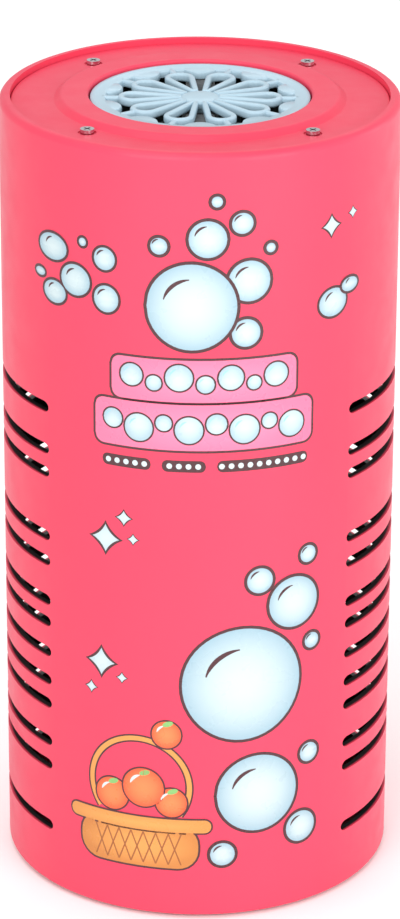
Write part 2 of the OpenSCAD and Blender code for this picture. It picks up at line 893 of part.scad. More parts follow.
module switch_plunger() {
    color(white) translate([0, button_y - 3, button_z]) rotate([-90, 0, 0]) cylinder(r = 1.5, h = 3);
}

module power_button() {
    color(white) translate([0, button_y, button_z]) rotate([-90, 0, 0]) {
        cylinder(r = 2.5, h = 1.3);
        translate([0, 0, 1.2]) cylinder(r = 9, h = 1.2);
        rotate_extrude()
            polygon(concat(
                [[0, 1.3], [button_r, 1.3]], arc(button_r - 0.6, 5.5, 0.6, 0, 90, 4), [[0, 6.1]]
            ));
    }
}

module wire_harness() {
    color([0.75, 0.12, 0.12]) {
        wire(switch_wires);
        wire(fan_wires);
        wire(drive_wires);
    }
}

module sticker_layer() {
    intersection() {
        translate([0, 0, 8]) tube(casing_r + 0.15, casing_r, 210, $fn = 128);
        union() children();
    }
}

// A flat outline set against the front at an arc length s from the middle and a height z
module on_front(s, z) {
    rotate([0, 0, s / casing_r * 180 / PI])
        translate([0, 6 - casing_r, z]) rotate([90, 0, 0]) linear_extrude(10) children();
}

module rounded(w, h, r) {
    for (x = [-w / 2 + r, w / 2 - r], y = [-h / 2 + r, h / 2 - r]) translate([x, y]) circle(r = r, $fn = 24);
    square([w - 2 * r, h], center = true);
    square([w, h - 2 * r], center = true);
}

module plaque_sticker() {
    color([1, 0.45, 0.6]) sticker_layer() {
        on_front(1.5, 162.5) rounded(52.6, 13.4, 3);
        on_front(1.5, 149.2) rounded(62.6, 14.6, 3);
    }
}

// Each entry is arc length, height, half width and half height
module bubble_group(list) {
    for (b = list) on_front(b[0], b[1]) resized(b[2], b[3]);
}

module resized(a, b) {
    if (abs(a - b) < 0.05) circle(r = a, $fn = 32);
    else polygon([for (k = [0:31]) [a * cos(k * 11.25), b * sin(k * 11.25)]]);
}

module bubble_stickers() {
    color(sticker_white) sticker_layer() {
        bubble_group([[-43.6, 194.9, 6, 4.4], [-33, 198.5, 1.9, 1.9], [-26.2, 195, 3.9, 3.9]]);
        bubble_group([[-35.5, 187.3, 5.6, 5.1], [-48.8, 186.6, 2.7, 1.9], [-43, 182.2, 4.9, 3.9]]);
        bubble_group([[-25.7, 183.8, 4.4, 4.5], [39, 180.5, 5.6, 4.7], [45.2, 184.2, 3.9, 2.7]]);
        bubble_group([[4.6, 213, 2.4, 2.4], [11.4, 206.8, 3.8, 3.8], [-10.8, 200.4, 3.2, 3.2]]);
        bubble_group([[19.2, 199.4, 2.2, 2.2], [2.2, 202.6, 6, 6], [12.6, 176, 4.8, 4.8]]);
        bubble_group([[13.4, 190.6, 6.6, 6.6], [-2, 183.6, 13, 13]]);
    }
}

module star(r) {
    waist = r * 0.3;
    polygon([for (k = [0:7]) (k % 2 == 0 ? r : waist) * [sin(45 * k), cos(45 * k)]]);
}

module sparkle_stickers() {
    color(sticker_white) sticker_layer() {
        for (s = [[38, 202.3, 3.7], [46, 204.4, 2], [-26.2, 114.5, 5.2], [-20.7, 121.3, 2.7]])
            on_front(s[0], s[1]) star(s[2]);
        for (s = [[-18, 115.3, 1.9], [-27.7, 77, 5.2], [-31, 68.6, 2.2], [-21.4, 73.2, 1.9]])
            on_front(s[0], s[1]) star(s[2]);
    }
}

module garden_sticker() {
    color([0.8, 0.52, 0.24]) sticker_layer() {
        on_front(-17, 29.2) rounded(43, 5, 2.4);
        on_front(-17, 22.5) rounded(36, 14.6, 6.4);
        on_front(-16.5, 41) difference() {
            circle(r = 15.5, $fn = 48);
            circle(r = 13.2, $fn = 48);
            translate([-20, -33]) square([40, 22]);
        }
        bubble_group([[-24.5, 37, 5.4, 5.4], [-7.2, 36.4, 4.9, 4.9], [-15.2, 40.4, 6.4, 6.4]]);
        bubble_group([[31.8, 108.8, 3.4, 3.4], [17.2, 103.4, 4.6, 4.6], [33.4, 82.4, 3.2, 3.2]]);
        bubble_group([[27.4, 95.4, 8.4, 8.4], [12.6, 72.6, 17.8, 17.8], [33, 48, 3.8, 3.8]]);
        bubble_group([[30.6, 25.4, 5.6, 5.6], [7.2, 20.4, 4.4, 4.4], [17.2, 38.6, 12.6, 12.6]]);
        bubble_group([[-8.6, 57.4, 4.6, 4.6]]);
    }
}

outer_shell();
top_cover();
top_screws();
bubble_wheel();
wheel_shaft();
shaft_bushes();
solution_tray();
air_guides();
wiper_felts();
duct_gasket();
duct_screws();
air_duct();
gearbox_base();
gearbox_cover();
gearbox_screws();
pod_screws();
output_gear();
second_idler();
first_idler();
idler_pins();
motor_pinion();
motor_shaft();
drive_motor();
led_board();
leds();
fan_frame();
fan_screws();
fan_motor();
fan_shaft();
fan_impeller();
battery_box();
box_screws();
batteries();
box_contacts();
battery_door();
door_contacts();
door_screw();
door_hinge_pin();
base_cover();
base_screws();
rubber_feet();
main_board();
board_components();
board_screws();
switch_board();
power_switch();
switch_plunger();
power_button();
wire_harness();
plaque_sticker();
bubble_stickers();
sparkle_stickers();
garden_sticker();
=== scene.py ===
import json
import math

import bmesh
import bpy
from mathutils import Matrix, Vector


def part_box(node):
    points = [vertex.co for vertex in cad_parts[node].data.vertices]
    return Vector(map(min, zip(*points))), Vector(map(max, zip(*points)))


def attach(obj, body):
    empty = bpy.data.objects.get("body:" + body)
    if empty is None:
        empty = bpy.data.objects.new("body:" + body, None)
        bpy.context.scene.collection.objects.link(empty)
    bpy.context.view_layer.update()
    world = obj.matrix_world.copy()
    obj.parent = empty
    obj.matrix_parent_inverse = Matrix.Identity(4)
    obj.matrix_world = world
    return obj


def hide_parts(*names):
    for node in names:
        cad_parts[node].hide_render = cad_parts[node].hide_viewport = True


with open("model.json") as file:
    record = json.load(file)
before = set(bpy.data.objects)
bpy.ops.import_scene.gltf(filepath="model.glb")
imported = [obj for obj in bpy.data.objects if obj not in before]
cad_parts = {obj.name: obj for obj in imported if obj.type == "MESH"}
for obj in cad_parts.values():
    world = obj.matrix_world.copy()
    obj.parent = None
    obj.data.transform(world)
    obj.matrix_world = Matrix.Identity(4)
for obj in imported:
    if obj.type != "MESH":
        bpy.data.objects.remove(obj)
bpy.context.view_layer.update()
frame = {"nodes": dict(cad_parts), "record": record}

MM = 0.001
NODES = frame["nodes"]

_, shell_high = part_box("outer_shell")
RADIUS = shell_high.y
TOP = shell_high.z
SLOTS_MIDDLE = 0.37 * TOP
SLOTS_HALF = 0.314 * TOP
wheel_low, wheel_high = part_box("bubble_wheel")
WHEEL_R = wheel_high.x


def srgb(r, g, b):
    """A colour given as 0 to 255 screen values, as linear RGBA."""
    def linear(c):
        c /= 255
        return c / 12.92 if c <= 0.04045 else ((c + 0.055) / 1.055) ** 2.4
    return (linear(r), linear(g), linear(b), 1.0)


# ---------------------------------------------------------------- camera, lights, floor

def add_camera():
    distance = 18.916 * RADIUS
    height = TOP + 5.8655 * RADIUS
    pitch = math.radians(22.513)
    roll = math.radians(0.265)
    data = bpy.data.cameras.new("camera")
    data.sensor_width = 36
    data.lens = 155.66
    data.shift_x = 0.00155
    data.clip_end = 20
    camera = bpy.data.objects.new("camera", data)
    turn = Matrix.Rotation(math.pi / 2 - pitch, 4, "X") @ Matrix.Rotation(roll, 4, "Z")
    camera.matrix_world = Matrix.Translation((0, -distance, height)) @ turn
    bpy.context.scene.collection.objects.link(camera)
    bpy.context.scene.camera = camera


def add_light(name, place, aim, size, watts):
    data = bpy.data.lights.new(name, "AREA")
    data.shape = "RECTANGLE"
    data.size, data.size_y = size
    data.energy = watts
    light = bpy.data.objects.new(name, data)
    light.location = place
    light.rotation_euler = (Vector(aim) - Vector(place)).to_track_quat("-Z", "Y").to_euler()
    bpy.context.scene.collection.objects.link(light)


def add_studio():
    middle = (0, 0, TOP / 2)
    add_light("key", (-0.45, -1.2, 0.75), middle, (0.9, 0.9), 9.5)
    add_light("fill", (0.8, -1.0, 0.45), middle, (0.8, 1.0), 9)
    add_light("top", (-0.3, -0.2, 1.4), (0, 0, TOP), (0.7, 0.7), 3)
    add_light("backdrop", (0, 1.6, 1.4), (0, 2.2, 0), (1.6, 0.8), 12)
    add_light("side", (1.3, 0.5, 0.35), middle, (0.6, 0.8), 3)
    world = bpy.data.worlds.new("studio")
    world.use_nodes = True
    sky = world.node_tree.nodes["Background"]
    sky.inputs["Color"].default_value = (1, 1, 1, 1)
    sky.inputs["Strength"].default_value = 0.72
    bpy.context.scene.world = world
    bpy.context.scene.view_settings.view_transform = "Standard"


def add_floor():
    bm = bmesh.new()
    bmesh.ops.create_grid(bm, x_segments=1, y_segments=1, size=4)
    mesh = bpy.data.meshes.new("floor")
    bm.to_mesh(mesh)
    bm.free()
    floor = bpy.data.objects.new("floor", mesh)
    bpy.context.scene.collection.objects.link(floor)
    mesh.materials.append(plain_material("floor_pale", srgb(255, 255, 255), 0.6))


# ---------------------------------------------------------------- materials

def new_material(name):
    material = bpy.data.materials.new(name)
    material.use_nodes = True
    tree = material.node_tree
    return material, tree, tree.nodes["Principled BSDF"]


def plain_material(name, colour, roughness):
    material, _, shader = new_material(name)
    shader.inputs["Base Color"].default_value = colour
    shader.inputs["Roughness"].default_value = roughness
    return material


def add_noise(tree, scale, detail=3.0, stretch=(1, 1, 1)):
    place = tree.nodes.new("ShaderNodeTexCoord")
    mapping = tree.nodes.new("ShaderNodeMapping")
    mapping.inputs["Scale"].default_value = stretch
    noise = tree.nodes.new("ShaderNodeTexNoise")
    noise.inputs["Scale"].default_value = scale
    noise.inputs["Detail"].default_value = detail
    tree.links.new(place.outputs["Object"], mapping.inputs["Vector"])
    tree.links.new(mapping.outputs["Vector"], noise.inputs["Vector"])
    return noise.outputs["Fac"]


def ramp(tree, source, low, high, start=0.3, end=0.7):
    """Maps a 0 to 1 source to a colour between low and high."""
    node = tree.nodes.new("ShaderNodeValToRGB")
    node.color_ramp.elements[0].position = start
    node.color_ramp.elements[0].color = low
    node.color_ramp.elements[1].position = end
    node.color_ramp.elements[1].color = high
    tree.links.new(source, node.inputs["Fac"])
    return node.outputs["Color"]


def grey(value):
    return (value, value, value, 1)


def shade(colour, factor):
    return tuple(min(1, c * factor) for c in colour[:3]) + (1,)


def add_bump(tree, shader, source, distance, strength=1.0):
    bump = tree.nodes.new("ShaderNodeBump")
    bump.inputs["Strength"].default_value = strength
    bump.inputs["Distance"].default_value = distance
    tree.links.new(source, bump.inputs["Height"])
    tree.links.new(bump.outputs["Normal"], shader.inputs["Normal"])


def moulded_plastic(name, colour, rough=(0.26, 0.36), coat=0.25, vary=0.06, grain=0.00001):
    """Moulded plastic: faint flow mottling, uneven polish and a fine skin texture."""
    material, tree, shader = new_material(name)
    flow = add_noise(tree, 22, 2, (1, 1, 0.45))
    mottle = ramp(tree, flow, shade(colour, 1 - vary), shade(colour, 1 + vary))
    tree.links.new(mottle, shader.inputs["Base Color"])
    polish = add_noise(tree, 140, 4)
    tree.links.new(ramp(tree, polish, grey(rough[0]), grey(rough[1])), shader.inputs["Roughness"])
    add_bump(tree, shader, add_noise(tree, 900, 2), grain, 0.5)
    shader.inputs["Specular IOR Level"].default_value = 0.32
    shader.inputs["Coat Weight"].default_value = coat
    shader.inputs["Coat Roughness"].default_value = 0.12
    return material


def casing_plastic_painted_shade(name, outside, inside_shade_colour):
    """The casing's plastic with painted shade: the slot cut faces and the inner wall behind the slots are
    painted near-black to stand in for the shade inside the casing.
    """
    material = moulded_plastic(name, outside, (0.38, 0.48), 0.06, 0.03)
    tree = material.node_tree
    shader = tree.nodes["Principled BSDF"]
    skin = shader.inputs["Base Color"].links[0].from_socket

    def math_node(operation, first, second=None):
        node = tree.nodes.new("ShaderNodeMath")
        node.operation = operation
        for socket, value in zip(node.inputs, (first, second)):
            if isinstance(value, float):
                socket.default_value = value
            elif value is not None:
                tree.links.new(value, socket)
        return node.outputs["Value"]

    def step(value, start, end):
        node = tree.nodes.new("ShaderNodeMapRange")
        node.inputs["From Min"].default_value = start
        node.inputs["From Max"].default_value = end
        tree.links.new(value, node.inputs["Value"])
        return node.outputs["Result"]

    place = tree.nodes.new("ShaderNodeTexCoord").outputs["Object"]
    level = tree.nodes.new("ShaderNodeVectorMath")
    level.operation = "MULTIPLY"
    level.inputs[1].default_value = (1, 1, 0)
    tree.links.new(place, level.inputs[0])
    reach = tree.nodes.new("ShaderNodeVectorMath")
    reach.operation = "LENGTH"
    tree.links.new(level.outputs["Vector"], reach.inputs[0])
    outward = tree.nodes.new("ShaderNodeVectorMath")
    outward.operation = "NORMALIZE"
    tree.links.new(level.outputs["Vector"], outward.inputs[0])
    facing = tree.nodes.new("ShaderNodeVectorMath")
    facing.operation = "DOT_PRODUCT"
    tree.links.new(outward.outputs["Vector"], facing.inputs[0])
    tree.links.new(tree.nodes.new("ShaderNodeNewGeometry").outputs["True Normal"], facing.inputs[1])
    height = tree.nodes.new("ShaderNodeSeparateXYZ")
    tree.links.new(place, height.inputs["Vector"])

    radius = reach.outputs["Value"]
    # Painted shade: within the slot band, the inner wall and the inner part of each slot's cut faces take
    # the near-black shade colour. Outward faces and everything beyond the slots keep the pink.
    cut_face_shade = step(radius, RADIUS - 0.9 * MM, RADIUS - 0.35 * MM)
    inner_wall_shade = step(radius, RADIUS - 1.9 * MM, RADIUS - 1.6 * MM)
    outer_face = step(facing.outputs["Value"], 0.7, 0.75)
    off_middle = math_node("ABSOLUTE", math_node("SUBTRACT", height.outputs["Z"], SLOTS_MIDDLE))
    beyond_slots = step(off_middle, SLOTS_HALF, SLOTS_HALF + 0.006 * TOP)
    either = math_node("MINIMUM", inner_wall_shade, math_node("MAXIMUM", cut_face_shade, outer_face))
    mix = tree.nodes.new("ShaderNodeMix")
    mix.data_type = "RGBA"
    tree.links.new(math_node("MAXIMUM", either, beyond_slots), mix.inputs["Factor"])
    colours = [socket for socket in mix.inputs if socket.type == "RGBA"]
    colours[0].default_value = inside_shade_colour
    tree.links.new(skin, colours[1])
    tree.links.new(next(s for s in mix.outputs if s.type == "RGBA"), shader.inputs["Base Color"])
    return material


def worked_metal(name, colour, rough=(0.18, 0.38), stretch=(1, 1, 18)):
    """Metal with fine drawing lines along one direction and slight tarnish."""
    material, tree, shader = new_material(name)
    tarnish = add_noise(tree, 90, 4)
    mottle = ramp(tree, tarnish, shade(colour, 0.86), shade(colour, 1.05))
    tree.links.new(mottle, shader.inputs["Base Color"])
    lines = add_noise(tree, 500, 3, stretch)
    tree.links.new(ramp(tree, lines, grey(rough[0]), grey(rough[1])), shader.inputs["Roughness"])
    add_bump(tree, shader, lines, 0.000006, 0.5)
    shader.inputs["Metallic"].default_value = 1.0
    return material


def soft_matter(name, colour, scale, depth, rough=0.9, sheen=0.0):
    """Felt or rubber: broken colour and a coarse soft surface."""
    material, tree, shader = new_material(name)
    fibre = add_noise(tree, scale, 6)
    tree.links.new(ramp(tree, fibre, shade(colour, 0.78), shade(colour, 1.1)), shader.inputs["Base Color"])
    add_bump(tree, shader, fibre, depth, 0.8)
    shader.inputs["Roughness"].default_value = rough
    shader.inputs["Sheen Weight"].default_value = sheen
    return material


def printed_vinyl(name, light, dark):
    """Print on glossy film: the ink shades from light to dark by the piece's own tone value."""
    material, tree, shader = new_material(name)
    tone = tree.nodes.new("ShaderNodeAttribute")
    tone.attribute_name = "tone"
    tree.links.new(ramp(tree, tone.outputs["Fac"], light, dark, 0.0, 1.0), shader.inputs["Base Color"])
    polish = add_noise(tree, 160, 3)
    tree.links.new(ramp(tree, polish, grey(0.24), grey(0.34)), shader.inputs["Roughness"])
    shader.inputs["Coat Weight"].default_value = 0.2
    return material


PINK = srgb(228, 64, 91)
PALE = srgb(172, 198, 212)
# Near-black painted shade for the casing's inner wall and slot faces, standing in for the shade inside the
# casing.
INSIDE_SHADE = srgb(24, 27, 27)

MATERIALS = {
    "casing_pink": moulded_plastic("casing_pink", PINK, (0.4, 0.5), 0.03, 0.03),
    "casing_shell": casing_plastic_painted_shade("casing_shell", PINK, INSIDE_SHADE),
    "wheel_pale": moulded_plastic("wheel_pale", PALE, (0.28, 0.4), 0.15, 0.04),
    # Painted shade: the inner parts take this near-black colour to stand in for the shade inside the
    # casing.
    "inner_dark": moulded_plastic("inner_dark", srgb(34, 40, 40), (0.4, 0.55), 0.0, 0.08, 0.00002),
    "button_white": moulded_plastic("button_white", srgb(236, 238, 240), (0.2, 0.3), 0.3, 0.03),
    "gear_plastic": moulded_plastic("gear_plastic", srgb(224, 226, 224), (0.4, 0.5), 0.0, 0.04),
    "brass": worked_metal("brass", srgb(205, 165, 85), stretch=(1, 1, 1)),
    "steel": worked_metal("steel", srgb(190, 192, 196)),
    "screw_steel": worked_metal("screw_steel", srgb(205, 205, 208), (0.12, 0.25), (1, 1, 1)),
    "motor_can": worked_metal("motor_can", srgb(185, 188, 192), (0.25, 0.45)),
    "contact_metal": worked_metal("contact_metal", srgb(195, 195, 190), (0.2, 0.35), (1, 12, 1)),
    "felt": soft_matter("felt", srgb(74, 76, 78), 900, 0.00025, 0.95, 0.3),
    "rubber_dark": soft_matter("rubber_dark", srgb(42, 42, 44), 600, 0.00003, 0.75),
    "board_green": moulded_plastic("board_green", srgb(26, 104, 58), (0.3, 0.45), 0.3, 0.15, 0.00003),
    "component_black": moulded_plastic("component_black", srgb(38, 38, 41), (0.45, 0.6), 0.0, 0.1, 0.00002),
    "led_clear": moulded_plastic("led_clear", srgb(228, 236, 244), (0.08, 0.14), 0.5, 0.02),
    "fan_grey": moulded_plastic("fan_grey", srgb(92, 96, 102), (0.4, 0.5), 0.0, 0.06),
    "cell_jacket": moulded_plastic("cell_jacket", srgb(58, 96, 160), (0.15, 0.25), 0.4, 0.06),
    "wire_red": moulded_plastic("wire_red", srgb(190, 36, 36), (0.35, 0.45), 0.1, 0.05),
}

INK = {
    "line": printed_vinyl("ink_line", srgb(70, 30, 36), srgb(50, 24, 30)),
    "white": printed_vinyl("ink_white", srgb(196, 211, 213), srgb(146, 176, 190)),
    "plaque": printed_vinyl("ink_plaque", srgb(255, 132, 164), srgb(250, 96, 134)),
    "orange": printed_vinyl("ink_orange", srgb(252, 128, 72), srgb(226, 78, 40)),
    "tan": printed_vinyl("ink_tan", srgb(222, 152, 76), srgb(186, 112, 46)),
    "glint": printed_vinyl("ink_glint", srgb(150, 196, 214), srgb(120, 170, 196)),
    "brown": printed_vinyl("ink_brown", srgb(150, 86, 36), srgb(120, 64, 28)),
    "leaf": printed_vinyl("ink_leaf", srgb(128, 180, 104), srgb(70, 128, 70)),
}

STICKER_SLOTS = ("sticker_pink", "sticker_white", "sticker_tan")


def dress_cad_nodes():
    slots = {s["node"]: s["material_slot"] for s in frame["record"]["subparts"]}
    for node, piece in NODES.items():
        if slots[node] in STICKER_SLOTS:
            continue
        piece.data.materials.clear()
        name = "casing_shell" if node == "outer_shell" else slots[node]
        piece.data.materials.append(MATERIALS[name])


# ---------------------------------------------------------------- mesh helpers

def add_piece(name, bm, materials, body, slot, *replaced, smooth=True, sharp=40):
    bmesh.ops.recalc_face_normals(bm, faces=bm.faces)
    mesh = bpy.data.meshes.new(name)
    bm.to_mesh(mesh)
    bm.free()
    for material in materials:
        mesh.materials.append(material)
    if smooth:
        mesh.shade_smooth()
        mesh.set_sharp_from_angle(angle=math.radians(sharp))
    piece = bpy.data.objects.new(name, mesh)
    bpy.context.scene.collection.objects.link(piece)
    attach(piece, body)
    if replaced:
        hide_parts(*replaced)
    return piece


def bridge(bm, rows, closed_rows, closed_along=False, material=0):
    """Joins rows of vertices with quads."""
    faces = []
    count = len(rows)
    for i in range(count if closed_along else count - 1):
        a, b = rows[i], rows[(i + 1) % count]
        n = len(a)
        for k in range(n if closed_rows else n - 1):
            m = (k + 1) % n
            faces.append(bm.faces.new((a[k], a[m], b[m], b[k])))
    for face in faces:
        face.material_index = material
    return faces


def revolve(bm, profile, segments=192, centre=(0, 0), material=0):
    """A closed profile of (radius, height) turned round a vertical axis."""
    rows = []
    for i in range(segments):
        a = 2 * math.pi * i / segments
        rows.append([
            bm.verts.new((centre[0] + r * math.cos(a), centre[1] + r * math.sin(a), z)) for r, z in profile
        ])
    bridge(bm, rows, True, True, material)


def dome(bm, centre, profile, segments=48, material=0):
    """A profile of (radius, height) that starts and ends on the axis."""
    low = bm.verts.new((centre[0], centre[1], profile[0][1]))
    high = bm.verts.new((centre[0], centre[1], profile[-1][1]))
    rings = []
    for r, z in profile[1:-1]:
        rings.append([
            bm.verts.new((
                centre[0] + r * math.cos(2 * math.pi * i / segments),
                centre[1] + r * math.sin(2 * math.pi * i / segments),
                z,
            ))
            for i in range(segments)
        ])
    bridge(bm, rings, True, False, material)
    for tip, ring in ((low, rings[0]), (high, rings[-1])):
        for i in range(segments):
            bm.faces.new((tip, ring[i], ring[(i + 1) % segments])).material_index = material


def rounded_box_section(width, height, radius, steps=4):
    """The outline of a rounded rectangle, centred, as (across, up) pairs."""
    points = []
    corners = ((1, 1, 0), (-1, 1, 90), (-1, -1, 180), (1, -1, 270))
    for sx, sy, start in corners:
        for i in range(steps + 1):
            a = math.radians(start + 90 * i / steps)
            points.append((
                sx * (width / 2 - radius) + radius * math.cos(a),
                sy * (height / 2 - radius) + radius * math.sin(a),
            ))
    return points


def sweep_flat(bm, path, section, z, closed=True, material=0):
    """A section swept along a level path of (x, y) points. section is (across, up) pairs."""
    count = len(path)
    rows = []
    for i, (x, y) in enumerate(path):
        before = path[(i - 1) % count] if closed else path[max(i - 1, 0)]
        after = path[(i + 1) % count] if closed else path[min(i + 1, count - 1)]
        along = Vector((after[0] - before[0], after[1] - before[1])).normalized()
        across = Vector((along.y, -along.x))
        rows.append([bm.verts.new((x + across.x * a, y + across.y * a, z + u)) for a, u in section])
    bridge(bm, rows, True, closed, material)
    if not closed:
        bm.faces.new(rows[0]).material_index = material
        bm.faces.new(rows[-1][::-1]).material_index = material


# ---------------------------------------------------------------- bubble wheel

PETALS = 10
PETAL_AT = 18.3 * MM
PETAL_R = 4.2 * MM
PETAL_TIP = 3.9 * MM
RIB = 1.7 * MM
HUB_DROP = 1.4 * MM
RING = 4.4 * MM
SCALLOP_AT = WHEEL_R - 2.6 * MM
SCALLOP = 5.0 * MM


def turned(points, angle):
    c, s = math.cos(angle), math.sin(angle)
    return [(x * c - y * s, x * s + y * c) for x, y in points]


def teardrop_path(radius, tip, arc_steps=28, side_steps=7):
    """Centreline of a petal loop along +X: a round end with tangents to a point."""
    lean = math.asin(radius / (PETAL_AT - tip))
    sweep = math.pi / 2 + lean
    points = []
    for i in range(arc_steps + 1):
        a = -sweep + 2 * sweep * i / arc_steps
        points.append((PETAL_AT + radius * math.cos(a), radius * math.sin(a)))
    first, last = points[0], points[-1]
    for i in range(1, side_steps + 1):
        t = i / (side_steps + 1)
        points.append((last[0] + (tip - last[0]) * t, last[1] * (1 - t) + 0.12 * MM * t))
    for i in range(side_steps, 0, -1):
        t = i / (side_steps + 1)
        points.append((first[0] + (tip - first[0]) * t, first[1] * (1 - t) - 0.12 * MM * t))
    return points


def build_wheel():
    bm = bmesh.new()
    low, high = wheel_low.z + HUB_DROP, wheel_high.z
    outer, ring_in = WHEEL_R, WHEEL_R - RING
    step = 0.3 * MM
    revolve(bm, [
        (ring_in, low), (outer - 0.3 * MM, low), (outer, low + 0.3 * MM), (outer, high - 0.6 * MM),
        (outer - 0.15 * MM, high - 0.2 * MM), (outer - 0.6 * MM, high), (outer - 1.3 * MM, high),
        (outer - 1.7 * MM, high - 0.1 * MM), (outer - 2.1 * MM, high - step),
        (ring_in + 0.6 * MM, high - step), (ring_in + 0.2 * MM, high - step - 0.2 * MM),
        (ring_in, high - step - 0.6 * MM),
    ])
    for k in range(PETALS):
        gap_turn = math.radians(90 + 360 * k / PETALS)
        petal_turn = math.radians(90 + 360 * (k + 0.5) / PETALS)
        centre = (SCALLOP_AT * math.cos(gap_turn), SCALLOP_AT * math.sin(gap_turn))
        cut = WHEEL_R - 2.3 * MM
        path = []
        for i in range(25):
            a = gap_turn + math.pi / 2 + math.pi * i / 24
            x, y = centre[0] + SCALLOP * math.cos(a), centre[1] + SCALLOP * math.sin(a)
            reach = math.hypot(x, y)
            if reach > cut:
                x, y = x * cut / reach, y * cut / reach
            path.append((x, y))
        top, base = high - step - 0.02 * MM, low + 0.05 * MM
        rows = []
        for inset, z in ((0, base), (0, top - 0.6 * MM), (0.2, top - 0.2 * MM), (0.6, top)):
            rows.append([
                bm.verts.new((
                    centre[0] + (x - centre[0]) * (1 - inset * MM / SCALLOP),
                    centre[1] + (y - centre[1]) * (1 - inset * MM / SCALLOP),
                    z,
                ))
                for x, y in path
            ])
        bridge(bm, rows, True)
        bm.faces.new(rows[0])
        bm.faces.new(rows[-1])
        section = rounded_box_section(RIB, high - low, 0.75 * MM, 6)
        loop = turned(teardrop_path(PETAL_R - RIB / 2, PETAL_TIP), petal_turn)
        sweep_flat(bm, loop, section, (low + high) / 2)
        stem = turned([(PETAL_AT + PETAL_R - RIB * 0.6, 0), (ring_in + 1.0 * MM, 0)], petal_turn)
        flat_section = rounded_box_section(RIB, high - low - step, 0.7 * MM)
        sweep_flat(bm, stem, flat_section, (low + high - step) / 2, False)
    dome(bm, (0, 0), [
        (0, low), (5.4 * MM, low), (5.6 * MM, high - 0.9 * MM), (5.3 * MM, high - 0.45 * MM),
        (4.4 * MM, high - 0.15 * MM), (2.2 * MM, high - 0.03 * MM), (0, high - 0.01 * MM),
    ])
    dome(bm, (0, 0), [
        (0, wheel_low.z), (4.2 * MM, wheel_low.z), (4.5 * MM, wheel_low.z + 0.3 * MM),
        (4.5 * MM, low + 0.2 * MM), (0, low + 0.2 * MM),
    ])
    pale = [MATERIALS["wheel_pale"]]
    add_piece("bubble_wheel_detail", bm, pale, "wheel", "wheel_pale", "bubble_wheel", sharp=35)


# ---------------------------------------------------------------- printed stickers

LAYER = 0.015 * MM
SURFACE = RADIUS
GRID = 1.0


def wrapped(s, z, r):
    """Arc length s from the front's middle and height z, both in mm, on the cylinder of radius r."""
    a = s * MM / RADIUS
    return (r * math.sin(a), -r * math.cos(a), z * MM)


def span_at(outline, s):
    """The lowest and highest z where an outline meets the upright line at s."""
    hits = []
    for (s0, z0), (s1, z1) in zip(outline, outline[1:] + outline[:1]):
        if min(s0, s1) <= s <= max(s0, s1):
            t = 0.5 if abs(s1 - s0) < 1e-9 else (s - s0) / (s1 - s0)
            hits.append(z0 + (z1 - z0) * t)
            if abs(s1 - s0) < 1e-9:
                hits.extend((z0, z1))
    return min(hits), max(hits)


class Print:
    """Collects the shapes of one sticker as thin closed plates that follow the casing."""

    def __init__(self, inks):
        self.bm = bmesh.new()
        self.inks = inks
        self.tone = self.bm.verts.layers.float.new("tone")

    def vert(self, s, z, r, tone):
        v = self.bm.verts.new(wrapped(s, z, r))
        v[self.tone] = tone
        return v

    def depths(self, layer):
        return SURFACE + LAYER * max(0, layer - 0.5), SURFACE + LAYER * (layer + 1)

    def plate(self, outline, centre, ink, layer, tones=(0.0, 0.0)):
        """A plate cut into narrow upright strips. Its tone runs from the centre to the edge."""
        index = self.inks.index(ink)
        across = [s for s, _ in outline]
        first, last = min(across), max(across)
        lines = range(math.ceil(first / GRID), math.floor(last / GRID) + 1)
        stops = sorted(across + [GRID * k for k in lines])
        kept = [first]
        for s in stops:
            if s - kept[-1] > 0.12:
                kept.append(s)
        if last - kept[-1] < 0.06 and len(kept) > 2:
            kept.pop()
        kept.append(last)
        wide = (last - first) / 2
        tall = (max(z for _, z in outline) - min(z for _, z in outline)) / 2
        steps = max(2, min(10, int(tall / 1.2) + 1)) if tones[0] != tones[1] else 1
        faces = []
        for r in self.depths(layer):
            rows = []
            for s in kept:
                low, high = span_at(outline, s)
                if high - low < 0.06:
                    low, high = (low + high) / 2 - 0.03, (low + high) / 2 + 0.03
                row = []
                for i in range(steps + 1):
                    z = low + (high - low) * i / steps
                    d = min(1, math.hypot((s - centre[0]) / wide, (z - centre[1]) / tall))
                    row.append(self.vert(s, z, r, tones[0] + (tones[1] - tones[0]) * d * d))
                rows.append(row)
            faces.append(rows)
            bridge(self.bm, rows, False, False, index)
        edge = []
        for rows in faces:
            foot = [row[0] for row in rows]
            head = [row[-1] for row in rows[-2::-1]]
            edge.append(foot + rows[-1][1:] + head + rows[0][-2:0:-1])
        bridge(self.bm, edge, True, False, index)

    def stroke(self, path, width, ink, layer, tone=0.0, taper=False):
        """A line of some width along a path of (s, z) points."""
        index = self.inks.index(ink)
        count = len(path)
        parts = max(1, math.ceil(width / GRID))
        low, high = self.depths(layer)
        rows = []
        for i, (s, z) in enumerate(path):
            a, b = path[max(i - 1, 0)], path[min(i + 1, count - 1)]
            along = Vector((b[0] - a[0], b[1] - a[1])).normalized()
            half = width / 2
            if taper:
                half *= max(0.12, math.sin(math.pi * i / (count - 1))) ** 0.6
            across = Vector((along.y, -along.x)) * half
            offsets = [-1 + 2 * k / parts for k in range(parts + 1)]
            rows.append(
                [self.vert(s + across.x * k, z + across.y * k, low, tone) for k in offsets]
                + [self.vert(s + across.x * k, z + across.y * k, high, tone) for k in reversed(offsets)]
            )
        bridge(self.bm, rows, True, False, index)
        self.bm.faces.new(rows[0]).material_index = index
        self.bm.faces.new(rows[-1]).material_index = index

    def finish(self, name, slot, *replaced):
        materials = [INK[i] for i in self.inks]
        return add_piece(name, self.bm, materials, "housing", slot, *replaced, smooth=False)


